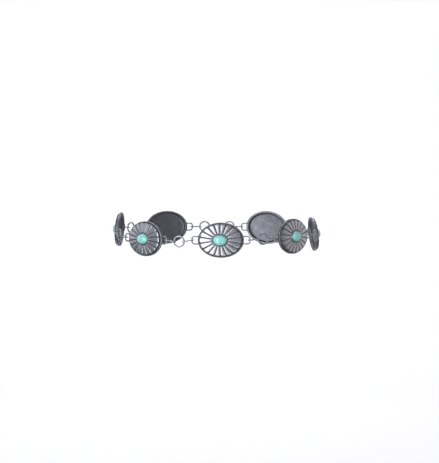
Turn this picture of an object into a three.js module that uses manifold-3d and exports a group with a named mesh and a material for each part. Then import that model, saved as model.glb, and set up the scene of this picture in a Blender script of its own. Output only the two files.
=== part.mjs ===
// Concho belt: seven domed silver ovals set with turquoise, joined by short chains into a loop
// at the waist. Millimetres, +Z up, the front of the belt towards -Y, the origin in the middle
// of the loop.

import * as THREE from 'three';
import { mergeVertices } from 'three/addons/utils/BufferGeometryUtils.js';
import Module from 'manifold-3d';

const wasm = await Module();
wasm.setup();

// Driving sizes of a concho and its stone
const CONCHO_HALF_LENGTH = 26;
const CONCHO_HALF_WIDTH = 19.6;
const RIM_THICKNESS = 1.8;
const DOME_HEIGHT = 5.9;
const WALL_THICKNESS = 0.9;
const LIP_RISE = 1.4;
const FLUTE_DEPTH = 0.7;
const PETALS = 18;
const STEPS_PER_PETAL = 3;
const PETAL_SPREAD = 0.07;
const GROOVE_WIDTH_SHARE = 0.42;
const STONE_HALF_LENGTH = 8;
const STONE_HALF_WIDTH = 5.8;
const STONE_HEIGHT = 4.6;

// Driving sizes of the chains
const LOOP_WIRE = 1.6;
const LOOP_HEIGHT = 9.8;
const LOOP_CORNER = 2.6;
const LOOP_REACH = 6.5;
const LINK_WIRE = 1.2;
const LINK_WIDTH = 5.8;
const RING_WIRE = 1.8;
const RING_DIAMETER = 13.4;
const SPAN = 9.3;
const CLASP_WIRE = 2;
const CLASP_WIDTH = 8;
const CLASP_SPAN = 18;
const CLASP_MOUTH = 4;

// Clearances between pieces that touch on the real belt
const SEAT_GAP = 0.3;
const HANG_GAP = 0.25;

// How each concho hangs, going round the belt from the middle of the front: the way the chain
// heads there and the lean and roll of the oval, in degrees, and its height. The two behind the
// back have no heading of their own, because they close the loop.
const HANG = [
  { heading: -13, height: 0, lean: 3, roll: 1 },
  { heading: 49.5, height: 2, lean: 3, roll: 1 },
  { heading: 95, height: -2.4, lean: 6, roll: 0 },
  { heading: null, height: 0, lean: 3, roll: 0 },
  { heading: null, height: 0, lean: 3, roll: 0 },
  { heading: 263, height: 2.8, lean: 3, roll: 0 },
  { heading: 315, height: -1.5, lean: 3, roll: 0 },
];

// How the chain after each concho hangs: how far its middle is below the straight way between
// the two conchos, and the power by which it turns from the one heading to the other. It turns
// evenly with one, early with less and late with more.
const CHAINS = [
  { sag: -0.7, turning: 1 },
  { sag: 0, turning: 1.2 },
  { sag: 0, turning: 1 },
  { sag: 0, turning: 1 },
  { sag: 0, turning: 1 },
  { sag: 0, turning: 0.85 },
  { sag: 1.4, turning: 0.22 },
];
const CLASP_GAP = 3;

// What follows from the driving sizes
const barReach = CONCHO_HALF_LENGTH + LOOP_REACH;
const cupHalfLength = STONE_HALF_LENGTH + SEAT_GAP;
const cupHalfWidth = STONE_HALF_WIDTH + SEAT_GAP;
const cupFloor = DOME_HEIGHT - FLUTE_DEPTH;
const shoulderHeight = 0.83 * DOME_HEIGHT;

// Profile of a concho from its underside round the rim to the cup for the stone. A row's half
// axes are the two shares, of the cup's and of the whole oval's, added up. It also holds the
// height over the back and the share of the flute depth by which the grooves are sunk there.
const CONCHO_PROFILE = [
  { cup: 0, oval: 0, height: cupFloor - WALL_THICKNESS, flute: 0 },
  { cup: 0, oval: 0.825, height: shoulderHeight - FLUTE_DEPTH - WALL_THICKNESS, flute: 0 },
  { cup: 0, oval: 0.88, height: 0, flute: 0 },
  { cup: 0, oval: 1, height: 0, flute: 0 },
  { cup: 0, oval: 1, height: RIM_THICKNESS, flute: 0 },
  { cup: 0, oval: 0.93, height: RIM_THICKNESS, flute: 0 },
  { cup: 0, oval: 0.88, height: shoulderHeight, flute: 1 },
  { cup: 0.82, oval: 0.18, height: DOME_HEIGHT, flute: 0.8 },
  { cup: 0.97, oval: 0.03, height: DOME_HEIGHT + LIP_RISE, flute: 0 },
  { cup: 1, oval: 0, height: cupFloor, flute: 0 },
  { cup: 0, oval: 0, height: cupFloor, flute: 0 },
];

// Profile of a stone, as shares of its own half axes and height
const STONE_PROFILE = [
  { share: 0, height: 0 },
  { share: 0.97, height: 0 },
  { share: 1, height: 0.28 },
  { share: 0.74, height: 0.77 },
  { share: 0, height: 1 },
];
const STONE_SIDES = 18;

const silver = new THREE.MeshStandardMaterial({ color: 0x8e8e92, roughness: 0.35, metalness: 1 });
const paleSilver = new THREE.MeshStandardMaterial({ color: 0xb4b6ba, roughness: 0.3, metalness: 1 });
const turquoise = new THREE.MeshStandardMaterial({ color: 0x7fd0c8, roughness: 0.25, metalness: 0 });

// Solid geometry helpers

// Welds a geometry's corners, drops triangles of no area and turns the faces outwards.
function welded(geometry) {
  const bare = geometry.clone();
  bare.deleteAttribute('normal');
  bare.deleteAttribute('uv');
  const merged = mergeVertices(bare, 1e-4);
  const corners = [];
  const index = merged.index.array;
  for (let i = 0; i < index.length; i += 3) {
    const [a, b, c] = [index[i], index[i + 1], index[i + 2]];
    if (a !== b && b !== c && c !== a) {
      corners.push(a, b, c);
    }
  }
  if (signedVolume(merged.attributes.position, corners) < 0) {
    corners.reverse();
  }
  merged.setIndex(corners);
  return merged;
}

function signedVolume(position, corners) {
  const [a, b, c] = [new THREE.Vector3(), new THREE.Vector3(), new THREE.Vector3()];
  let volume = 0;
  for (let i = 0; i < corners.length; i += 3) {
    a.fromBufferAttribute(position, corners[i]);
    b.fromBufferAttribute(position, corners[i + 1]);
    c.fromBufferAttribute(position, corners[i + 2]);
    volume += a.dot(b.cross(c)) / 6;
  }
  return volume;
}

// Joins overlapping geometries into one solid, as solder does.
function soldered(geometries) {
  const solids = geometries.map((geometry) => {
    const { position } = geometry.attributes;
    return new wasm.Manifold(new wasm.Mesh({
      numProp: 3,
      vertProperties: new Float32Array(position.array),
      triVerts: new Uint32Array(geometry.index.array),
    }));
  });
  const mesh = solids.reduce((whole, next) => whole.add(next)).getMesh();
  const geometry = new THREE.BufferGeometry();
  geometry.setAttribute('position', new THREE.BufferAttribute(new Float32Array(mesh.vertProperties), 3));
  geometry.setIndex([...mesh.triVerts]);
  return geometry;
}

// Moves every corner of a geometry by a function that changes a vector in place.
function reshaped(geometry, change) {
  const { position } = geometry.attributes;
  const corner = new THREE.Vector3();
  for (let i = 0; i < position.count; i += 1) {
    corner.fromBufferAttribute(position, i);
    change(corner);
    position.setXYZ(i, corner.x, corner.y, corner.z);
  }
  return geometry;
}

// A profile turned round the up axis of the lathe, which then becomes the outward axis z.
function turned(profile, sides) {
  const points = profile.map((row) => new THREE.Vector2(row.share, row.height));
  return new THREE.LatheGeometry(points, sides).rotateX(Math.PI / 2);
}

// Pieces, each drawn about its own middle: x along the chain, y up, z outwards from the waist

// Angle round the oval of lathe step i. The middle step of three is the groove between two
// petals, and the two beside it are drawn close to it, so that a petal is broad and flat. The
// steps are spread a little at the two ends, so that all petals are as wide round the edge.
function fluteAngle(i) {
  const pitch = (2 * Math.PI) / PETALS;
  const groove = Math.round(i / STEPS_PER_PETAL);
  const side = i - groove * STEPS_PER_PETAL;
  const even = (groove + 0.5 + (side * GROOVE_WIDTH_SHARE) / 2) * pitch;
  return even + PETAL_SPREAD * Math.sin(2 * even);
}

// The domed shell: the profile is turned in as many steps as the petals need, each step is
// moved to its own angle, the grooves are sunk and the circle is drawn out into the oval.
function conchoShell() {
  const sides = PETALS * STEPS_PER_PETAL;
  const geometry = turned(CONCHO_PROFILE.map((row) => ({ ...row, share: row.cup + row.oval })), sides);
  const rows = CONCHO_PROFILE.length;
  const { position } = geometry.attributes;
  for (let k = 0; k < position.count; k += 1) {
    const i = Math.floor(k / rows);
    const row = CONCHO_PROFILE[k % rows];
    const angle = fluteAngle(i);
    const sunk = i % STEPS_PER_PETAL === 0 ? row.flute * FLUTE_DEPTH : 0;
    const halfLength = row.cup * cupHalfLength + row.oval * CONCHO_HALF_LENGTH;
    const halfWidth = row.cup * cupHalfWidth + row.oval * CONCHO_HALF_WIDTH;
    const height = row.height - sunk - RIM_THICKNESS / 2;
    position.setXYZ(k, halfLength * Math.cos(angle), halfWidth * Math.sin(angle), height);
  }
  return geometry;
}

// The wire loop soldered into one end of the rim: a U that lies along the chain.
function endLoop(side) {
  const half = (LOOP_HEIGHT - LOOP_WIRE) / 2;
  const straight = half - LOOP_CORNER;
  const turn = barReach - LOOP_CORNER;
  const root = CONCHO_HALF_LENGTH - LOOP_WIRE;
  const path = new THREE.CurvePath();
  path.add(line(root, -half, turn, -half));
  path.add(bend(turn, -straight, LOOP_CORNER, -90, 0));
  path.add(line(barReach, -straight, barReach, straight));
  path.add(bend(turn, straight, LOOP_CORNER, 0, 90));
  path.add(line(turn, half, root, half));
  const wire = wireAlong(path, LOOP_WIRE, 5, 10);
  return reshaped(wire, (corner) => {
    corner.x *= side;
  });
}

function line(x0, y0, x1, y1) {
  return new THREE.LineCurve3(new THREE.Vector3(x0, y0, 0), new THREE.Vector3(x1, y1, 0));
}

// A circular bend in the xy plane, from one angle to another in degrees.
function bend(x, y, radius, from, to) {
  const start = THREE.MathUtils.degToRad(from);
  const end = THREE.MathUtils.degToRad(to);
  const flat = new THREE.EllipseCurve(x, y, radius, radius, start, end, end < start);
  const curve = new THREE.Curve();
  curve.getPoint = (t) => {
    const point = flat.getPoint(t);
    return new THREE.Vector3(point.x, point.y, 0);
  };
  return curve;
}

// Round wire of the given number of sides, drawn along a path in equal steps.
function wireAlong(path, thickness, sides, steps) {
  const section = new THREE.Shape();
  for (let i = 0; i < sides; i += 1) {
    const angle = (2 * Math.PI * i) / sides;
    const [x, y] = [(thickness / 2) * Math.cos(angle), (thickness / 2) * Math.sin(angle)];
    if (i === 0) {
      section.moveTo(x, y);
    } else {
      section.lineTo(x, y);
    }
  }
  section.closePath();
  return new THREE.ExtrudeGeometry(section, { steps, extrudePath: path, bevelEnabled: false });
}

function concho() {
  return soldered([conchoShell(), endLoop(1), endLoop(-1)].map(welded));
}

// The stone stands in the cup with the seat gap under it and round it.
function stone() {
  const base = cupFloor + SEAT_GAP - RIM_THICKNESS / 2;
  const geometry = reshaped(turned(STONE_PROFILE, STONE_SIDES), (corner) => {
    corner.x *= STONE_HALF_LENGTH;
    corner.y *= STONE_HALF_WIDTH;
    corner.z = base + corner.z * STONE_HEIGHT;
  });
  return welded(geometry);
}

// A round ring that stands upright along the chain.
function ring() {
  const radius = (RING_DIAMETER - RING_WIRE) / 2;
  return welded(new THREE.TorusGeometry(radius, RING_WIRE / 2, 5, 12));
}

// A long link that lies flat. It is a ring drawn apart into two halves, long enough to pass
// round a bar of the given thickness at one end and the wire of a ring at the other.
function jumpLink() {
  const radius = (LINK_WIDTH - LINK_WIRE) / 2;
  const grip = LOOP_WIRE / 2 + RING_WIRE / 2 + 2 * HANG_GAP + LINK_WIRE;
  const apart = (SPAN + grip) / 2 - radius;
  const shift = (RING_WIRE - LOOP_WIRE) / 4;
  const geometry = new THREE.TorusGeometry(radius, LINK_WIRE / 2, 5, 10);
  reshaped(geometry, (corner) => {
    corner.x += Math.sign(corner.x) * apart + shift;
  });
  return welded(geometry.rotateX(Math.PI / 2));
}

// The hook clasp: one wire bent into a long oval that lies flat, with a mouth left open in the
// side away from the waist.
function clasp() {
  const radius = (CLASP_WIDTH - CLASP_WIRE) / 2;
  const grip = RING_WIRE + 2 * HANG_GAP + CLASP_WIRE;
  const apart = (CLASP_SPAN + grip) / 2 - radius;
  const path = new THREE.CurvePath();
  path.add(line(apart - CLASP_MOUTH, radius, -apart, radius));
  path.add(bend(-apart, 0, radius, 90, 270));
  path.add(line(-apart, -radius, apart, -radius));
  path.add(bend(apart, 0, radius, -90, 90));
  return welded(wireAlong(path, CLASP_WIRE, 5, 20).rotateX(Math.PI / 2));
}

// The way round the waist

const radians = THREE.MathUtils.degToRad;
const ringSpan = RING_DIAMETER - RING_WIRE;

// The pieces of the chain after concho k, in the order in which they hang.
function chainPieces(k) {
  const tag = String(k + 1);
  if (k === CLASP_GAP) {
    return [
      { name: `link_${tag}a`, make: jumpLink, length: SPAN, side: 1 },
      { name: `ring_${tag}a`, make: ring, length: ringSpan, side: 1 },
      { name: 'clasp', make: clasp, length: CLASP_SPAN, side: 1 },
      { name: `ring_${tag}b`, make: ring, length: ringSpan, side: 1 },
      { name: `link_${tag}b`, make: jumpLink, length: SPAN, side: -1 },
    ];
  }
  return [
    { name: `link_${tag}a`, make: jumpLink, length: SPAN, side: 1 },
    { name: `ring_${tag}`, make: ring, length: ringSpan, side: 1 },
    { name: `link_${tag}b`, make: jumpLink, length: SPAN, side: -1 },
  ];
}

// Every piece in order round the belt, with its heading in degrees and how far it rises. The
// pieces between two conchos turn from the heading of the one to that of the other.
function hungPieces(backHeadings) {
  const headings = HANG.map((row) => row.heading);
  headings.splice(CLASP_GAP, 2, ...backHeadings);
  const pieces = [];
  HANG.forEach((row, k) => {
    const next = HANG[(k + 1) % HANG.length];
    const nextHeading = k + 1 < HANG.length ? headings[k + 1] : headings[0] + 360;
    const rise = 2 * barReach * Math.sin(radians(row.roll));
    const name = `concho_${k + 1}`;
    pieces.push({ name, make: concho, length: 2 * barReach, side: 1, lean: row.lean, heading: headings[k], rise });
    const chain = chainPieces(k);
    const { sag, turning } = CHAINS[k];
    const total = chain.reduce((sum, piece) => sum + piece.length, 0);
    const climb = next.height - barReach * Math.sin(radians(next.roll)) - row.height - rise / 2;
    chain.forEach((piece, i) => {
      const turn = ((i + 1) / (chain.length + 1)) ** turning;
      const heading = headings[k] + (nextHeading - headings[k]) * turn;
      const dip = { 0: -sag, [chain.length - 1]: sag }[i] ?? 0;
      pieces.push({ ...piece, lean: 0, heading, rise: (climb * piece.length) / total + dip });
    });
  });
  return pieces;
}

// The point that a piece ends at when it starts at the given point.
function endOf(piece, start) {
  const along = Math.sqrt(piece.length ** 2 - piece.rise ** 2);
  const heading = radians(piece.heading);
  return start.clone().add(new THREE.Vector3(along * Math.cos(heading), along * Math.sin(heading), piece.rise));
}

function gapLeftBy(backHeadings) {
  const start = new THREE.Vector3();
  return hungPieces(backHeadings).reduce((point, piece) => endOf(piece, point), start);
}

// The headings of the two conchos at the back that bring the end of the belt to its start,
// found by Newton's method from an even spread.
function closingHeadings() {
  const nudge = 0.01;
  let guess = [155, 205];
  for (let round = 0; round < 12; round += 1) {
    const miss = gapLeftBy(guess);
    const first = gapLeftBy([guess[0] + nudge, guess[1]]).sub(miss).divideScalar(nudge);
    const second = gapLeftBy([guess[0], guess[1] + nudge]).sub(miss).divideScalar(nudge);
    const scale = first.x * second.y - second.x * first.y;
    guess = [
      guess[0] - (miss.x * second.y - second.x * miss.y) / scale,
      guess[1] - (first.x * miss.y - miss.x * first.y) / scale,
    ];
  }
  return guess;
}

// The frame of a piece that hangs between two points: x along it, z outwards, tipped by its lean.
function placeBetween(start, end, lean) {
  const along = end.clone().sub(start).normalize();
  const outward = new THREE.Vector3(along.y, -along.x, 0).normalize();
  const up = outward.clone().cross(along);
  const matrix = new THREE.Matrix4().makeBasis(along, up, outward);
  const middle = start.clone().add(end).multiplyScalar(0.5);
  matrix.multiply(new THREE.Matrix4().makeRotationX(radians(-lean)));
  return matrix.setPosition(middle);
}

// The belt

const belt = new THREE.Group();
const drawn = new Map();

// A copy of a shape as its own named mesh, set in the place that the matrix gives.
function addPiece(name, make, material, matrix) {
  if (!drawn.has(make)) {
    drawn.set(make, make());
  }
  const mesh = new THREE.Mesh(drawn.get(make), material);
  mesh.name = name;
  mesh.applyMatrix4(matrix);
  belt.add(mesh);
}

const pieces = hungPieces(closingHeadings());
const joints = [new THREE.Vector3()];
pieces.forEach((piece, i) => joints.push(endOf(piece, joints[i])));
const middle = new THREE.Box3().setFromPoints(joints).getCenter(new THREE.Vector3());
middle.z = pieces[0].rise / 2;
joints.forEach((joint) => joint.sub(middle));

pieces.forEach((piece, i) => {
  const matrix = placeBetween(joints[i], joints[i + 1], piece.lean);
  if (piece.side < 0) {
    matrix.multiply(new THREE.Matrix4().makeRotationZ(Math.PI));
  }
  addPiece(piece.name, piece.make, piece.make === concho ? silver : paleSilver, matrix);
  if (piece.make === concho) {
    addPiece(piece.name.replace('concho', 'stone'), stone, turquoise, matrix);
  }
});

export default belt;
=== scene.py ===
# %% [markdown]
# # A concho belt of antiqued silver and turquoise
#
# Seven domed silver ovals hang round a waist on short chains. The solid model gives every
# piece its place and its rough form. This file turns each of them into a finished surface,
# gives it a metal or a stone, and lights it as a small studio would.

import math

import bpy
import numpy as np
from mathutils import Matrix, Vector


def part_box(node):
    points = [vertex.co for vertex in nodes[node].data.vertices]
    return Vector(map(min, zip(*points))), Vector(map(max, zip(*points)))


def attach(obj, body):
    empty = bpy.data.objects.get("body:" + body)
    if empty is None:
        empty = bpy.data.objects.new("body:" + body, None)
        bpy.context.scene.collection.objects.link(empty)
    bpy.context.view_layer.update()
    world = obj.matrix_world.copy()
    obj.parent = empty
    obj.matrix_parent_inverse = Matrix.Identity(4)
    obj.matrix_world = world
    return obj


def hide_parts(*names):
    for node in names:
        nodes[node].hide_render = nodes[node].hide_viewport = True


MM = 0.001
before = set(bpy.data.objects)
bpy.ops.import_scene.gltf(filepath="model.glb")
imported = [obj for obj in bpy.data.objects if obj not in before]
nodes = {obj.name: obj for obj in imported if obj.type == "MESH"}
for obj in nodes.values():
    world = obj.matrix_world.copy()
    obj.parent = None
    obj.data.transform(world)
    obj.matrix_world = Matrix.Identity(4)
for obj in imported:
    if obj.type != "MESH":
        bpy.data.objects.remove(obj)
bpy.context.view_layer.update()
print("solid nodes:", len(nodes))

# %% [markdown]
# ## The camera
#
# The picture looks at the front of the belt from a little above it and a little to the left.
# A long lens far away keeps the ovals at the sides nearly as large as the one in the middle.
# The camera aims at a point near the belt's own axis, and a small lens shift puts that point
# where the picture has it, which leaves the viewing direction alone. The picture's measures are
# in pixels, and the distance and the way back to the axis are in metres.

# %% Camera
PICTURE_WIDTH, PICTURE_HEIGHT = 439, 463
SENSOR_WIDTH = 36
FOCAL_PIXELS = 2090
AXIS_X_PIXEL, AXIS_Y_PIXEL = 217.45, 233.4
CAMERA_DISTANCE = 2.4
CAMERA_AZIMUTH, CAMERA_ELEVATION = math.radians(-1.5), math.radians(4.56)
FRONT_CONCHO_TO_AXIS = 0.100


def aim_point():
    """Point behind the front stone, near the belt's axis, at the height of the belt's origin."""
    low, high = (np.array(corner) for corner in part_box("stone_1"))
    middle = (low + high) / 2
    return Vector((middle[0], middle[1] + FRONT_CONCHO_TO_AXIS, 0.0))


def view_from(azimuth, elevation):
    """Unit direction from the belt to the camera; azimuth 0 is the front, plus is the right."""
    flat = math.cos(elevation)
    return Vector((math.sin(azimuth) * flat, -math.cos(azimuth) * flat, math.sin(elevation)))


camera_data = bpy.data.cameras.new("camera")
camera_data.sensor_width = SENSOR_WIDTH
camera_data.lens = FOCAL_PIXELS * SENSOR_WIDTH / PICTURE_HEIGHT
camera_data.shift_x = (PICTURE_WIDTH / 2 - AXIS_X_PIXEL) / PICTURE_HEIGHT
camera_data.shift_y = (AXIS_Y_PIXEL - PICTURE_HEIGHT / 2) / PICTURE_HEIGHT
camera = bpy.data.objects.new("camera", camera_data)
bpy.context.scene.collection.objects.link(camera)
bpy.context.scene.camera = camera
towards_camera = view_from(CAMERA_AZIMUTH, CAMERA_ELEVATION)
camera.location = aim_point() + towards_camera * CAMERA_DISTANCE
camera.rotation_euler = (-towards_camera).to_track_quat("-Z", "Y").to_euler()
print("focal length in mm:", round(camera_data.lens, 1))
print("camera at", [round(value, 3) for value in camera.location])

# %% [markdown]
# ## Where each piece hangs
#
# Every solid node is a rigid copy of one of a few shapes, so its own three axes say how it is
# turned. They are found by principal component analysis: each triangle of the node counts by
# its area, and the directions in which that area spreads most and least are the node's length
# and its thickness. Measuring them keeps the finished pieces exactly where the solids are.

# %% Piece axes


def node_points(name):
    """Corners of a node's triangles as an array of shape (triangles, 3, 3), in metres."""
    mesh = nodes[name].data
    mesh.calc_loop_triangles()
    points = np.empty(len(mesh.vertices) * 3)
    mesh.vertices.foreach_get("co", points)
    corners = np.empty(len(mesh.loop_triangles) * 3, dtype=np.int32)
    mesh.loop_triangles.foreach_get("vertices", corners)
    return points.reshape(-1, 3)[corners].reshape(-1, 3, 3)


def spread_axes(triangles):
    """Unit axes from the longest to the thinnest spread of the surface.

    The covariance of a triangle about the whole's middle is its area times the sum of the
    squares of its corners and of their sum, over twelve.
    """
    first, second = triangles[:, 1] - triangles[:, 0], triangles[:, 2] - triangles[:, 0]
    area = np.linalg.norm(np.cross(first, second), axis=1) / 2
    middle = (triangles.mean(axis=1) * area[:, None]).sum(axis=0) / area.sum()
    corners = triangles - middle
    total = corners.sum(axis=1)
    spread = np.einsum("t,tki,tkj->ij", area, corners, corners)
    spread += np.einsum("t,ti,tj->ij", area, total, total)
    values, vectors = np.linalg.eigh(spread / 12)
    return vectors.T[::-1]


def box_middle(triangles, axes):
    """Middle of the box that the points fill along the given axes."""
    along = triangles.reshape(-1, 3) @ axes.T
    return ((along.min(axis=0) + along.max(axis=0)) / 2) @ axes


def concho_place(name):
    """Axes (along, up, outward) of an oval, and its middle on the flat back of the rim."""
    triangles = node_points(name)
    along, _, outward = spread_axes(triangles)
    middle = box_middle(triangles, np.eye(3))
    outward = outward * np.sign(outward[:2] @ middle[:2])
    up = np.cross(outward, along)
    along, up = along * np.sign(up[2]), up * np.sign(up[2])
    axes = np.array([along, up, outward])
    place = box_middle(triangles, axes)
    back = (triangles.reshape(-1, 3) @ outward).min()
    return axes, place + outward * (back - place @ outward)


def wire_place(name):
    """Axes (long way, short way, flat side) of a ring or a link, and its middle."""
    triangles = node_points(name)
    long_way, _, flat = spread_axes(triangles)
    axes = np.array([long_way, np.cross(flat, long_way), flat])
    return axes, box_middle(triangles, axes)


concho_names = sorted(name for name in nodes if name.startswith("concho_"))
for name in concho_names:
    axes, place = concho_place(name)
    print(name, "faces", np.round(axes[2], 2), "at mm", np.round(place / MM, 1))

# %% [markdown]
# ## From formula to mesh
#
# Each surface is a grid of points worked out by numpy. A grid row is one turn round the piece
# and wraps onto itself, and two poles close its ends with a fan of triangles. A wire is the
# same grid, with a small circle as its row and a path as its length.

# %% Grids


def grid_faces(rows, columns):
    """Quads of a grid whose columns wrap round.

    Each quad joins a point, the next one in its row and the two that follow them in the next
    row.
    """
    row, column = np.meshgrid(np.arange(rows - 1), np.arange(columns), indexing="ij")
    nxt = (column + 1) % columns
    here, below = row * columns, (row + 1) * columns
    quads = np.stack([here + column, here + nxt, below + nxt, below + column], axis=-1)
    return quads.reshape(-1, 4)


def closed_grid(points):
    """Vertices, quads and triangles of a (rows, columns, 3) grid, closed by a pole at each end."""
    rows, columns, _ = points.shape
    vertices = np.vstack([points.reshape(-1, 3), points[0].mean(axis=0), points[-1].mean(axis=0)])
    column = np.arange(columns)
    nxt = (column + 1) % columns
    start, end = rows * columns, rows * columns + 1
    last = (rows - 1) * columns
    first_fan = np.stack([np.full(columns, start), nxt, column], axis=1)
    last_fan = np.stack([np.full(columns, end), last + column, last + nxt], axis=1)
    return vertices, grid_faces(rows, columns), np.vstack([first_fan, last_fan])


def join_surfaces(surfaces):
    """One set of vertices, quads and triangles from several, with their numbers moved on."""
    vertices, quads, triangles, count = [], [], [], 0
    for points, four, three in surfaces:
        vertices.append(points)
        quads.append(four + count)
        triangles.append(three + count)
        count += len(points)
    return np.vstack(vertices), np.vstack(quads), np.vstack(triangles)


# %% From arrays to an object


def add_mesh(name, surface, place, attributes=None):
    """A smooth-shaded object from a surface in millimetres, set in its place in the frame.

    Each point's three measures go along the place's three axes, from the place's middle.
    """
    points, quads, triangles = surface
    axes, middle = place
    world = points * MM @ axes + middle
    mesh = bpy.data.meshes.new(name)
    mesh.vertices.add(len(world))
    mesh.vertices.foreach_set("co", world.ravel())
    mesh.loops.add(quads.size + triangles.size)
    corners = np.concatenate([quads.ravel(), triangles.ravel()])
    mesh.loops.foreach_set("vertex_index", corners.astype(np.int32))
    mesh.polygons.add(len(quads) + len(triangles))
    quad_starts = np.arange(len(quads)) * 4
    triangle_starts = quads.size + np.arange(len(triangles)) * 3
    starts = np.concatenate([quad_starts, triangle_starts])
    mesh.polygons.foreach_set("loop_start", starts.astype(np.int32))
    mesh.update(calc_edges=True)
    mesh.polygons.foreach_set("use_smooth", np.ones(len(mesh.polygons), dtype=bool))
    for key, values in (attributes or {}).items():
        layer = mesh.attributes.new(key, "FLOAT", "POINT")
        layer.data.foreach_set("value", values.astype(np.float32))
    mesh.validate()
    piece = bpy.data.objects.new(name, mesh)
    bpy.context.scene.collection.objects.link(piece)
    return piece


# %% Wire along a path


def wire_surface(path, normal, radius, sides=12, lobes=0, turns=0, lobe_depth=0.0, closed=False):
    """A wire round a path that lies in a plane whose normal is given.

    Each row is a circle across the path: middle plus radius times (cosine of the angle times
    the sideways axis plus sine times the normal). With lobes, the radius swells by
    lobe_depth times the cosine of lobes times the angle, and that pattern turns along the
    path, which gives strands twisted together.
    """
    if closed:
        along = np.roll(path, -1, axis=0) - np.roll(path, 1, axis=0)
    else:
        along = np.gradient(path, axis=0)
    along /= np.linalg.norm(along, axis=1, keepdims=True)
    sideways = np.cross(along, normal)
    sideways /= np.linalg.norm(sideways, axis=1, keepdims=True)
    angle = np.linspace(0, 2 * np.pi, sides, endpoint=False)[None, :]
    twist = np.linspace(0, 2 * np.pi * turns, len(path), endpoint=not closed)[:, None]
    reach = radius * (1 + lobe_depth * np.cos(lobes * (angle - twist)))
    points = path[:, None] + reach[..., None] * (
        np.cos(angle)[..., None] * sideways[:, None] + np.sin(angle)[..., None] * np.asarray(normal)
    )
    if not closed:
        return closed_grid(points)
    rows, columns, _ = points.shape
    wrapped = np.concatenate([points, points[:1]])
    quads = grid_faces(rows + 1, columns) % (rows * columns)
    return wrapped[:-1].reshape(-1, 3), quads, np.empty((0, 3), dtype=int)


def bend(x, y, radius, start, end, steps=14):
    """Points of a circular bend in the plane, angles in degrees."""
    angle = np.radians(np.linspace(start, end, steps))
    return np.stack([x + radius * np.cos(angle), y + radius * np.sin(angle), 0 * angle], axis=1)


# %% [markdown]
# ## The oval
#
# A concho is a shallow metal dome, cast with its petals raised and its back hollow. It could be
# sculpted, but all seven are alike, so a formula is cleaner. The surface runs along a profile
# from the cup for the stone, over the lip, the petals and the rim, to the hollow back. Each
# petal is a cushion with a rounded outer end that stands on the groove floor.

# %% Oval sizes
HALF_LENGTH, HALF_WIDTH = 26.0, 19.6
STONE_HALF_LENGTH, STONE_HALF_WIDTH = 8.0, 5.8
SEAT_GAP = 0.3
CUP_HALF_LENGTH, CUP_HALF_WIDTH = STONE_HALF_LENGTH + SEAT_GAP, STONE_HALF_WIDTH + SEAT_GAP
RIM_THICKNESS = 1.8
DOME_HEIGHT = 5.9
DOME_DROP = 1.35
CUP_FLOOR = 5.2
WALL_THICKNESS = 0.9
PETALS = 18
PETAL_SPREAD = 0.07
PETAL_RELIEF = 0.8
GROOVE_WIDTH = 0.45
NARROWEST_HALF_PETAL = 0.2
PETAL_INNER, PETAL_OUTER = 0.09, 0.905
print("cup in mm:", 2 * CUP_HALF_LENGTH, "by", round(2 * CUP_HALF_WIDTH, 1))

# %% Profile of the oval


def dome(way):
    """Height of the petals' crests.

    It is the dome's top less its drop times the 1.8th power of the way along a petal.
    """
    along = np.clip((way - PETAL_INNER) / (PETAL_OUTER - PETAL_INNER), 0, 1)
    return DOME_HEIGHT - DOME_DROP * along**1.8


# Profile from the middle of the cup to the middle of the hollow back. A row's half axes are a
# share of the cup's and a share of the oval's added up, and past the cup's edge the two shares
# make one, so the oval's share is the way from the cup to the edge. Then come the height, how
# much of the petals stands there, the tarnish and the steps to the next row.
PROFILE = [
    (0.06, 0, CUP_FLOOR, 0, 1.0, 2),
    (1, 0, CUP_FLOOR, 0, 1.0, 3),
    (0.995, 0.005, DOME_HEIGHT + 1.0, 0, 0.5, 2),
    (0.98, 0.02, DOME_HEIGHT + 1.25, 0, 0.1, 2),
    (0.96, 0.04, DOME_HEIGHT + 0.9, 0, 0.3, 2),
    (0.95, 0.05, DOME_HEIGHT - PETAL_RELIEF, 0, 1.0, 2),
    (1 - PETAL_INNER, PETAL_INNER, DOME_HEIGHT - PETAL_RELIEF, 1, 1.0, 36),
    (1 - PETAL_OUTER, PETAL_OUTER, DOME_HEIGHT - DOME_DROP - PETAL_RELIEF, 1, 1.0, 3),
    (0.07, 0.93, RIM_THICKNESS - 0.1, 0, 1.0, 3),
    (0.05, 0.95, RIM_THICKNESS, 0, 0.5, 3),
    (0.02, 0.98, RIM_THICKNESS, 0, 0.35, 3),
    (0.005, 0.995, RIM_THICKNESS - 0.1, 0, 0.3, 2),
    (0, 1, RIM_THICKNESS - 0.4, 0, 0.5, 3),
    (0, 1, 0.25, 0, 0.6, 2),
    (0.01, 0.99, 0, 0, 0.6, 3),
    (0.13, 0.87, 0, 0, 0.4, 3),
    (0.15, 0.85, 0.3, 0, 0.6, 4),
    (0.2, 0.8, 2.6, 0, 0.6, 2),
    (0.24, 0.76, 3.0, 0, 0.6, 6),
    (0.9, 0, CUP_FLOOR - WALL_THICKNESS, 0, 0.6, 3),
    (0.06, 0, CUP_FLOOR - WALL_THICKNESS, 0, 0.6, 0),
]


def profile_rows():
    """Columns of the profile at every grid row, each stretch divided into its own steps."""
    table = np.array(PROFILE)
    steps = table[:-1, 5].astype(int)
    stops = np.concatenate([[0], np.cumsum(steps)])
    position = np.interp(np.arange(stops[-1] + 1), stops, np.arange(len(table)))
    return [np.interp(position, np.arange(len(table)), table[:, k])[:, None] for k in range(5)]


print("grid rows from the cup to the hollow back:", len(profile_rows()[0]))

# %% Petals
STEPS_ROUND = PETALS * 24


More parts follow.
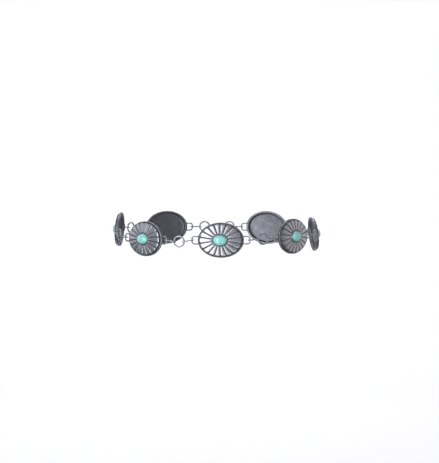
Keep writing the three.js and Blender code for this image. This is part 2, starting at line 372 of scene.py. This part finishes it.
def steps_round():
    """Even steps round the oval and the angles at which they stand, as two rows.

    The angle is the step plus the petal spread times the sine of twice the step. That makes
    the petals a little wider at the two ends of the oval than at its top and bottom.
    """
    even = np.linspace(0, 2 * np.pi, STEPS_ROUND, endpoint=False)[None, :]
    return even, even + PETAL_SPREAD * np.sin(2 * even)


def petal_cushion(way, half_length, half_width):
    """Height share of the petals from 0 in a groove to 1 on a crest.

    Across a petal, the distance from its middle line is taken over its half width. Near its
    outer end the distance left to the end is taken over the same half width. The cushion is
    the root of one minus the fourth power of the one and the 2.6th power of the other, so the
    crest is broad, the sides are steep and the outer end is round. The inner end runs in under
    the trim of the cup.
    """
    even, angle = steps_round()
    widening = 1 + 2 * PETAL_SPREAD * np.cos(2 * even)
    pitch = 2 * np.pi / PETALS
    from_middle = ((even + pitch / 2) % pitch - pitch / 2) * widening
    stretch = np.hypot(half_length * np.sin(angle), half_width * np.cos(angle))
    half_petal = (stretch * pitch * widening - GROOVE_WIDTH) / 2
    half_petal = np.maximum(half_petal, NARROWEST_HALF_PETAL)
    across = np.abs(from_middle) * stretch / half_petal
    run_along = (HALF_LENGTH - CUP_HALF_LENGTH) * np.cos(angle)
    run_across = (HALF_WIDTH - CUP_HALF_WIDTH) * np.sin(angle)
    to_end = (PETAL_OUTER - way) * np.hypot(run_along, run_across)
    end = np.clip(1 - to_end / half_petal, 0, None)
    return np.sqrt(np.clip(1 - across**4 - end**2.6, 0, 1))


print("steps round each grid row:", STEPS_ROUND)

# %% Shell
POLISH_REACH = 1.5


def oval_shell():
    """The cast shell as one closed surface, and how tarnished each point is.

    A point stands at the half axes times the cosine and sine of its angle, and as high as the
    floor plus the relief times the cushion. Tarnish fades where the cushion rises.
    """
    cup, way, height, relief, tarnish = profile_rows()
    _, angle = steps_round()
    half_length = cup * CUP_HALF_LENGTH + way * HALF_LENGTH
    half_width = cup * CUP_HALF_WIDTH + way * HALF_WIDTH
    cushion = petal_cushion(way, half_length, half_width) * relief
    under_petals = relief > 0.99
    floor = np.where(under_petals, dome(way) - PETAL_RELIEF, height)
    x, y = half_length * np.cos(angle), half_width * np.sin(angle)
    points = np.stack([x, y, floor + PETAL_RELIEF * cushion], axis=-1)
    dark = np.clip(tarnish - POLISH_REACH * cushion, 0, 1) + 0 * angle
    poles = [PROFILE[0][4], PROFILE[-1][4]]
    return closed_grid(points), np.concatenate([dark.ravel(), poles])


surface, dark = oval_shell()
print("oval shell points:", len(surface[0]), "faces:", len(surface[1]) + len(surface[2]))

# %% [markdown]
# ## Twisted wire trims
#
# Two rows of twisted wire frame the petals: one lies on the rim, one round the stone's cup.
# Real twisted wire is two round wires wound about each other, and both could be swept as
# tubes. Here it is one wire whose section has two lobes that turn along the way, which needs
# far fewer faces.

# %% Trims
RIM_TRIM_WAY = 0.962
RIM_TRIM_RADIUS = 0.42
RIM_TRIM_PITCH = 2.6
RIM_TRIM_LIFT = 0.1
CUP_TRIM_OUTSET = 1.45
CUP_TRIM_RADIUS = 0.55
CUP_TRIM_PITCH = 2.4
CUP_TRIM_SINK = 0.25
ROWS_A_TURN = 12


def even_oval(half_length, half_width, height, count):
    """Points spaced evenly along an oval's own length, and that length."""
    angle = np.linspace(0, 2 * np.pi, 2001)
    x, y = half_length * np.cos(angle), half_width * np.sin(angle)
    length = np.concatenate([[0], np.cumsum(np.hypot(np.diff(x), np.diff(y)))])
    even = np.interp(np.linspace(0, length[-1], count, endpoint=False), length, angle)
    x, y = half_length * np.cos(even), half_width * np.sin(even)
    return np.stack([x, y, height + 0 * even], axis=1), length[-1]


def twisted_trim(half_length, half_width, height, radius, pitch):
    """Two-strand wire laid along an oval, with whole turns so that it closes."""
    _, length = even_oval(half_length, half_width, height, 8)
    turns = round(length / pitch)
    path, _ = even_oval(half_length, half_width, height, turns * ROWS_A_TURN)
    return wire_surface(
        path, (0, 0, 1), radius, sides=10, lobes=2, turns=turns, lobe_depth=0.2, closed=True
    )


rim_trim = twisted_trim(
    CUP_HALF_LENGTH + RIM_TRIM_WAY * (HALF_LENGTH - CUP_HALF_LENGTH),
    CUP_HALF_WIDTH + RIM_TRIM_WAY * (HALF_WIDTH - CUP_HALF_WIDTH),
    RIM_THICKNESS + RIM_TRIM_LIFT,
    RIM_TRIM_RADIUS,
    RIM_TRIM_PITCH,
)
cup_trim = twisted_trim(
    STONE_HALF_LENGTH + CUP_TRIM_OUTSET,
    STONE_HALF_WIDTH + CUP_TRIM_OUTSET,
    DOME_HEIGHT - CUP_TRIM_SINK,
    CUP_TRIM_RADIUS,
    CUP_TRIM_PITCH,
)
print("trim faces:", len(rim_trim[1]) + len(cup_trim[1]))

# %% [markdown]
# ## The loops at the ends
#
# A U of round wire is soldered into each end of the rim, and the chain hangs on its bar. A
# curve with a round bevel would do as well. Sweeping a circle along points keeps the loop in
# the same kind of mesh as the shell, so the two can be joined.

# %% End loops
LOOP_WIRE, LOOP_HEIGHT, LOOP_CORNER, LOOP_REACH = 1.6, 9.8, 2.6, 6.5
BAR_REACH = HALF_LENGTH + LOOP_REACH


def end_loop(side):
    """A U whose two legs start inside the rim; side is 1 or -1 along the chain.

    The path is mirrored for the side -1, and then run through backwards, so that the faces
    of its wire still point outwards.
    """
    half = (LOOP_HEIGHT - LOOP_WIRE) / 2
    turn = BAR_REACH - LOOP_CORNER
    root = HALF_LENGTH - LOOP_WIRE
    lower = bend(turn, -half + LOOP_CORNER, LOOP_CORNER, -90, 0)
    upper = bend(turn, half - LOOP_CORNER, LOOP_CORNER, 0, 90)
    leg = np.array([[root, -half, 0], [(root + turn) / 2, -half, 0]])
    path = np.vstack([leg, lower, [BAR_REACH, 0, 0], upper, leg[::-1] * [1, -1, 1]])
    path = path * [side, 1, 1] + [0, 0, RIM_THICKNESS / 2]
    return wire_surface(path[::side], (0, 0, 1), LOOP_WIRE / 2)


# %% [markdown]
# ## Seven conchos
#
# Shell, trims and loops are soldered into one piece on the belt, so here they are one mesh. It
# could be shared by seven turned objects, but each piece has to keep its place in its own
# mesh, so the points are worked out once and set down seven times.

# %% Build the conchos
TRIM_TARNISH, LOOP_TARNISH = 0.0, 0.2

trims = [rim_trim, cup_trim]
loops = [end_loop(1), end_loop(-1)]
tarnish = np.concatenate(
    [
        dark,
        np.full(sum(len(trim[0]) for trim in trims), TRIM_TARNISH),
        np.full(sum(len(loop[0]) for loop in loops), LOOP_TARNISH),
    ]
)
whole = join_surfaces([surface, *trims, *loops])
conchos = []
for name in concho_names:
    place = concho_place(name)
    concho = add_mesh(name.replace("concho", "silver_concho"), whole, place, {"tarnish": tarnish})
    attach(concho, "root")
    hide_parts(name)
    conchos.append(concho)
print("conchos:", len(conchos), "faces each:", len(conchos[0].data.polygons))

# %% [markdown]
# ## The stones
#
# Each stone is a cabochon: an oval with a flat base and a high polished dome. A squashed
# sphere would be quicker, but its sides would slope too early. The dome is a rounded curve
# between a half circle and a box, so the sides rise steeply out of the cup.

# %% Stones
STONE_HEIGHT = 4.6
GIRDLE_HEIGHT = 0.18 * STONE_HEIGHT
FOOT_BEVEL = 0.15
STONE_BASE = CUP_FLOOR + SEAT_GAP


def cabochon():
    """The stone as one closed surface.

    Above a low girdle it rises by the rest of its height times a curve. The curve is one
    minus the 2.4th power of the share of the half axes, all to the power 0.62.
    """
    turn = np.linspace(0.03, 1, 26)[:, None]
    share = np.sin(turn * np.pi / 2)
    crown = STONE_HEIGHT - GIRDLE_HEIGHT
    rise = GIRDLE_HEIGHT + crown * np.clip(1 - share**2.4, 0, 1) ** 0.62
    share = np.vstack([share, [[0.985]], [[0.9]], [[0.03]]])
    rise = np.vstack([rise, [[FOOT_BEVEL]], [[0.0]], [[0.0]]])
    angle = np.linspace(0, 2 * np.pi, 96, endpoint=False)[None, :]
    x, y = share * STONE_HALF_LENGTH * np.cos(angle), share * STONE_HALF_WIDTH * np.sin(angle)
    return closed_grid(np.stack([x, y, STONE_BASE + rise + 0 * angle], axis=-1))


stones = []
for name in concho_names:
    number = name.rsplit("_", 1)[1]
    stone = add_mesh(f"turquoise_{number}", cabochon(), concho_place(name))
    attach(stone, "root")
    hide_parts(f"stone_{number}")
    stones.append(stone)
print("stones:", len(stones))

# %% [markdown]
# ## Rings and links
#
# These are bent from round wire on a rod and sawn through, so each has a hairline joint. A
# torus would close the ring without one. Here a circle is swept almost the whole way round,
# and its two flat ends nearly meet.

# %% Rings and links
RING_WIRE, RING_DIAMETER = 1.8, 13.4
LINK_WIRE, LINK_WIDTH = 1.2, 5.8
JOINT = 0.07
RING_JOINT_AT = 60
RING_STEPS, END_STEPS = 80, 24


def ring_surface():
    """A circle of wire, open by the sawn joint."""
    radius = (RING_DIAMETER - RING_WIRE) / 2
    gap = math.degrees(JOINT / radius)
    start, end = RING_JOINT_AT + gap, RING_JOINT_AT + 360 - gap
    path = bend(0, 0, radius, start, end, RING_STEPS)
    return wire_surface(path, (0, 0, 1), RING_WIRE / 2, sides=16)


def long_link_surface(length):
    """Two half circles joined by straight runs, open in the middle of one run."""
    radius = (LINK_WIDTH - LINK_WIRE) / 2
    apart = (length - LINK_WIDTH) / 2
    start = np.array([[-JOINT / 2, radius, 0], [-apart / 2, radius, 0]])
    left = bend(-apart, 0, radius, 90, 270, END_STEPS)
    right = bend(apart, 0, radius, -90, 90, END_STEPS)
    path = np.vstack([start, left, [0, -radius, 0], right, start[::-1] * [-1, 1, 1]])
    return wire_surface(path, (0, 0, 1), LINK_WIRE / 2, sides=12)


def long_way(name, axes):
    """Length of a node along its first axis, in millimetres."""
    along = node_points(name).reshape(-1, 3) @ axes[0]
    return (along.max() - along.min()) / MM


wires = []
for name in sorted(nodes):
    if not name.startswith(("ring_", "link_")):
        continue
    axes, middle = wire_place(name)
    is_ring = name.startswith("ring_")
    shape = ring_surface() if is_ring else long_link_surface(long_way(name, axes))
    wire = add_mesh(f"wire_{name}", shape, (axes, middle))
    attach(wire, "root")
    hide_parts(name)
    wires.append(wire)
print("rings and links:", len(wires))

# %% [markdown]
# ## The clasp
#
# The belt closes behind the back with a plain hook: a long oval of wire with a mouth in one
# side. It is the link's shape with one run cut short, so it is made the same way. It lies
# along the line between the two rings that it holds.

# %% Clasp
CLASP_WIRE, CLASP_WIDTH, CLASP_MOUTH = 2.0, 8.0, 4.0


def clasp_place():
    """Axes (along, outward, up) of the clasp from the rings at its ends, and its middle."""
    ends = [wire_place(name)[1] for name in ("ring_4a", "ring_4b")]
    along = (ends[1] - ends[0]) / np.linalg.norm(ends[1] - ends[0])
    outward = np.cross(along, (0, 0, 1))
    outward /= np.linalg.norm(outward)
    axes = np.array([along, outward, np.cross(along, outward)])
    return axes, box_middle(node_points("clasp"), axes)


def hook_surface(length):
    """Two half circles joined by a straight run, and a second run cut short by the mouth."""
    radius = (CLASP_WIDTH - CLASP_WIRE) / 2
    apart = (length - CLASP_WIDTH) / 2
    start = np.array([[apart - CLASP_MOUTH, radius, 0], [0, radius, 0]])
    left = bend(-apart, 0, radius, 90, 270, END_STEPS)
    right = bend(apart, 0, radius, -90, 90, END_STEPS)
    path = np.vstack([start, left, [0, -radius, 0], right])
    return wire_surface(path, (0, 0, 1), CLASP_WIRE / 2, sides=16)


axes, middle = clasp_place()
clasp = add_mesh("wire_clasp", hook_surface(long_way("clasp", axes)), (axes, middle))
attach(clasp, "root")
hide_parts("clasp")
print("clasp length in mm:", round(long_way("clasp", axes), 1))

# %% [markdown]
# ## Materials
#
# Three materials cover the belt: blackened and polished plate, bright wire and turquoise.
# Painted images would blur close up, so all three are worked out from noise whose size is
# given in real millimetres. A noise node's scale is one over that size, because it reads the
# object's own coordinates in metres. The helpers below keep each material short.

# %% Material helpers


def linear(code):
    """Linear colour from an sRGB hex value such as "8c8e92"."""
    values = np.array([int(code[i : i + 2], 16) for i in (0, 2, 4)]) / 255
    values = np.where(values <= 0.04045, values / 12.92, ((values + 0.055) / 1.055) ** 2.4)
    return (*values, 1.0)


def add_node(tree, kind, settings=None, **links):
    """Adds a shader node.

    The settings go to its inputs by socket name, or else to its properties. The links join
    outputs of other nodes to its inputs, which are named, or numbered after an underscore.
    """
    node = tree.nodes.new(kind)
    for key, value in (settings or {}).items():
        if key in node.inputs:
            node.inputs[key].default_value = value
        else:
            setattr(node, key, value)
    for key, output in links.items():
        socket = int(key[1:]) if key[1:].isdigit() else key.replace("_", " ")
        tree.links.new(output, node.inputs[socket])
    return node


def new_material(name):
    """A material with an empty Principled shader, and its tree and shader."""
    material = bpy.data.materials.new(name)
    material.use_nodes = True
    tree = material.node_tree
    tree.nodes.clear()
    shader = add_node(tree, "ShaderNodeBsdfPrincipled")
    add_node(tree, "ShaderNodeOutputMaterial", Surface=shader.outputs["BSDF"])
    return material, tree, shader


def give(pieces, material):
    """Makes the material the only one of every piece."""
    for piece in pieces:
        piece.data.materials.clear()
        piece.data.materials.append(material)
    print(material.name, "on", len(pieces), "pieces")


# %% [markdown]
# ### Antiqued silver plate
#
# The cast ovals are plated, dipped in a blackening bath and then polished. The polish takes
# the black off the crests and leaves it in the grooves. Dirt could be worked out from the
# angles of the mesh, but the tarnish attribute already says how deep each point lies, so it
# says where the black stays too, and a soft noise breaks up its edge.

# %% Antiqued silver
TARNISH_CLOUD = 4 * MM
# The real grit of the polish is finer than this and would not show.
POLISH_GRIT = 0.35 * MM


def antiqued_silver():
    """Pale and shiny on the crests, dark and dull in the grooves, with a very fine grain."""
    material, tree, shader = new_material("antiqued_silver_plate")
    place = add_node(tree, "ShaderNodeTexCoord")
    depth = add_node(tree, "ShaderNodeAttribute", {"attribute_name": "tarnish"})
    soft = {"Scale": 1 / TARNISH_CLOUD, "Detail": 3.0}
    cloud = add_node(tree, "ShaderNodeTexNoise", soft, Vector=place.outputs["Object"])
    uneven = {"From Min": 0.3, "From Max": 0.7, "To Min": -0.12, "To Max": 0.12}
    shift = add_node(tree, "ShaderNodeMapRange", uneven, Value=cloud.outputs["Fac"])
    adding = {"operation": "ADD", "use_clamp": True}
    amount = add_node(
        tree, "ShaderNodeMath", adding, _0=depth.outputs["Fac"], _1=shift.outputs["Result"]
    )
    ramp = add_node(tree, "ShaderNodeValToRGB", {}, Fac=amount.outputs["Value"])
    ramp.color_ramp.elements[0].position = 0.05
    ramp.color_ramp.elements[0].color = linear("9a9ba1")
    ramp.color_ramp.elements[1].position = 0.85
    ramp.color_ramp.elements[1].color = linear("5c5c63")
    middle = ramp.color_ramp.elements.new(0.4)
    middle.color = linear("7a7b81")
    polish = {"To Min": 0.27, "To Max": 0.55}
    rough = add_node(tree, "ShaderNodeMapRange", polish, Value=amount.outputs["Value"])
    fine = {"Scale": 1 / POLISH_GRIT, "Detail": 2.0}
    grit = add_node(tree, "ShaderNodeTexNoise", fine, Vector=place.outputs["Object"])
    grain = {"Strength": 0.12, "Distance": 0.05 * MM}
    bump = add_node(tree, "ShaderNodeBump", grain, Height=grit.outputs["Fac"])
    shader.inputs["Metallic"].default_value = 1.0
    tree.links.new(ramp.outputs["Color"], shader.inputs["Base Color"])
    tree.links.new(rough.outputs["Result"], shader.inputs["Roughness"])
    tree.links.new(bump.outputs["Normal"], shader.inputs["Normal"])
    return material


give(conchos, antiqued_silver())

# %% [markdown]
# ### Polished wire
#
# Rings, links and clasp are plated steel wire, drawn smooth and tumbled bright. They stay
# paler than the ovals, because there is no relief to hold the black.

# %% Polished wire
HANDLING_CLOUD = 3 * MM


def polished_wire():
    """Bright metal whose colour and gloss drift a little, as handled wire does."""
    material, tree, shader = new_material("plated_steel_wire")
    place = add_node(tree, "ShaderNodeTexCoord")
    soft = {"Scale": 1 / HANDLING_CLOUD, "Detail": 3.0}
    cloud = add_node(tree, "ShaderNodeTexNoise", soft, Vector=place.outputs["Object"])
    ramp = add_node(tree, "ShaderNodeValToRGB", {}, Fac=cloud.outputs["Fac"])
    ramp.color_ramp.elements[0].position = 0.3
    ramp.color_ramp.elements[0].color = linear("85878e")
    ramp.color_ramp.elements[1].position = 0.7
    ramp.color_ramp.elements[1].color = linear("a0a2a8")
    polish = {"To Min": 0.24, "To Max": 0.36}
    rough = add_node(tree, "ShaderNodeMapRange", polish, Value=cloud.outputs["Fac"])
    shader.inputs["Metallic"].default_value = 1.0
    tree.links.new(ramp.outputs["Color"], shader.inputs["Base Color"])
    tree.links.new(rough.outputs["Result"], shader.inputs["Roughness"])
    return material


give([*wires, clasp], polished_wire())

# %% [markdown]
# ### Turquoise
#
# Turquoise is an opaque stone with a waxy polish. Its colour drifts from sky blue to green in
# soft clouds, and thin threads of its mother rock cross it here and there. The threads follow
# the edges between the cells of a Voronoi pattern, bent by noise.

# %% Turquoise
STONE_CLOUD = 6 * MM
THREAD_SPACING = 5 * MM
THREAD_BEND = 1.5 * MM
TURQUOISE_IOR = 1.61


def polished_turquoise():
    """Cloudy blue green with thin dull threads, under a waxy gloss."""
    material, tree, shader = new_material("polished_turquoise")
    place = add_node(tree, "ShaderNodeTexCoord")
    soft = {"Scale": 1 / STONE_CLOUD, "Detail": 4.0}
    cloud = add_node(tree, "ShaderNodeTexNoise", soft, Vector=place.outputs["Object"])
    ramp = add_node(tree, "ShaderNodeValToRGB", {}, Fac=cloud.outputs["Fac"])
    ramp.color_ramp.elements[0].position = 0.32
    ramp.color_ramp.elements[0].color = linear("7ac6ba")
    ramp.color_ramp.elements[1].position = 0.68
    ramp.color_ramp.elements[1].color = linear("9be0de")
    bend_by = {"operation": "MULTIPLY_ADD"}
    bent = add_node(
        tree, "ShaderNodeVectorMath", bend_by, _0=cloud.outputs["Color"], _2=place.outputs["Object"]
    )
    bent.inputs[1].default_value = (THREAD_BEND,) * 3
    cell = {"feature": "DISTANCE_TO_EDGE", "Scale": 1 / THREAD_SPACING}
    cells = add_node(tree, "ShaderNodeTexVoronoi", cell, Vector=bent.outputs["Vector"])
    thin = {"From Min": 0.0, "From Max": 0.05, "To Min": 0.45, "To Max": 0.0}
    thread = add_node(tree, "ShaderNodeMapRange", thin, Value=cells.outputs["Distance"])
    mixed = add_node(tree, "ShaderNodeMix", {"data_type": "RGBA"})
    tree.links.new(thread.outputs["Result"], mixed.inputs[0])
    tree.links.new(ramp.outputs["Color"], mixed.inputs[6])
    mixed.inputs[7].default_value = linear("7f9a7c")
    shader.inputs["Roughness"].default_value = 0.22
    shader.inputs["IOR"].default_value = TURQUOISE_IOR
    shader.inputs["Coat Weight"].default_value = 0.3
    shader.inputs["Coat Roughness"].default_value = 0.08
    tree.links.new(mixed.outputs[2], shader.inputs["Base Color"])
    return material


give(stones, polished_turquoise())

# %% [markdown]
# ## The studio
#
# A belt held at the waist stands on nothing, so the floor is a wide pale sweep well below it
# that curves up behind. A plane and a second plane for the wall would show a line where they
# meet, and the quarter circle between them hides it.

# %% Floor
FLOOR_DROP = 0.42
SWEEP_FRONT, SWEEP_BACK, SWEEP_SIDE = 0.3, 1.6, 0.9
SWEEP_RADIUS, SWEEP_TOP = 0.6, 1.1


def sweep():
    """A floor that turns up into a wall along a quarter circle, as wide strips."""
    turn = np.linspace(0, np.pi / 2, 24)
    wall = SWEEP_BACK + SWEEP_RADIUS
    y = np.concatenate([[SWEEP_FRONT], SWEEP_BACK + SWEEP_RADIUS * np.sin(turn), [wall]])
    z = np.concatenate([[0.0], SWEEP_RADIUS * (1 - np.cos(turn)), [SWEEP_TOP]]) - FLOOR_DROP
    left = np.stack([np.full_like(y, -SWEEP_SIDE), y, z], axis=1)
    right = left * [-1, 1, 1]
    count = len(y)
    here = np.arange(count - 1)
    quads = np.stack([here, here + count, here + count + 1, here + 1], axis=1)
    mesh = bpy.data.meshes.new("sweep")
    mesh.from_pydata(np.vstack([left, right]).tolist(), [], quads.tolist())
    mesh.polygons.foreach_set("use_smooth", np.ones(len(quads), dtype=bool))
    floor = bpy.data.objects.new("sweep", mesh)
    bpy.context.scene.collection.objects.link(floor)
    return floor


floor = sweep()
print("floor below the belt's middle in m:", FLOOR_DROP)

# %% Paper of the floor
paper, tree, shader = new_material("white_paper")
shader.inputs["Base Color"].default_value = linear("f4f4f6")
shader.inputs["Roughness"].default_value = 0.9
give([floor], paper)

# %% [markdown]
# ### Lamps
#
# Metal shows what is round it, so each lamp is placed for the oval that mirrors it. The key,
# at the left of the front, whitens the left half of the front oval. The two side fills stand a
# little behind the middle of the belt and show in the ovals beside the front one. The low front
# lamp lifts the undersides. The backdrop lamp lights the wall and, from behind, the top edges.
# The dim room between the lamps gives the grooves their depth.

# %% Lamps


def soft_lamp(name, place, aim, width, height, watts, colour="ffffff"):
    """A rectangular lamp at a place in metres that faces the aim point."""
    data = bpy.data.lights.new(name, "AREA")
    data.shape = "RECTANGLE"
    data.size, data.size_y, data.energy = width, height, watts
    data.color = linear(colour)[:3]
    lamp = bpy.data.objects.new(name, data)
    lamp.location = place
    lamp.rotation_euler = (Vector(aim) - Vector(place)).to_track_quat("-Z", "Y").to_euler()
    bpy.context.scene.collection.objects.link(lamp)
    return lamp


lamps = [
    soft_lamp("key", (-1.02, -1.26, 0.02), (0, 0, 0), 0.78, 1.85, 18, "fbfcff"),
    soft_lamp("left_fill", (-1.7, 0.35, 0.5), (0, 0, 0), 0.9, 1.3, 3.4, "f4f6ff"),
    soft_lamp("low_front", (-0.1, -1.5, -0.85), (0, 0, 0), 1.2, 0.7, 4, "fbfcff"),
    soft_lamp("right_fill", (1.75, 0.42, -0.05), (0, 0, 0), 0.8, 1.9, 3.3, "fbf0dc"),
    soft_lamp("backdrop", (0, 0.9, 1.6), (0, 2.1, 0.0), 1.6, 0.6, 22),
]
print("lamps:", len(lamps))

# %% Room
room = bpy.data.worlds.new("room")
bpy.context.scene.world = room
room.use_nodes = True
tree = room.node_tree
direction = add_node(tree, "ShaderNodeTexCoord")
parts = add_node(tree, "ShaderNodeSeparateXYZ", Vector=direction.outputs["Generated"])
from_below = {"From Min": -0.5, "From Max": 0.5, "To Min": 0.42, "To Max": 0.66}
brightness = add_node(tree, "ShaderNodeMapRange", from_below, Value=parts.outputs["Z"])
background = tree.nodes["Background"]
background.inputs["Color"].default_value = linear("f1f2f8")
tree.links.new(brightness.outputs["Result"], background.inputs["Strength"])
bpy.context.scene.view_settings.view_transform = "Standard"
print("room brightness from", from_below["To Min"], "below to", from_below["To Max"], "above")
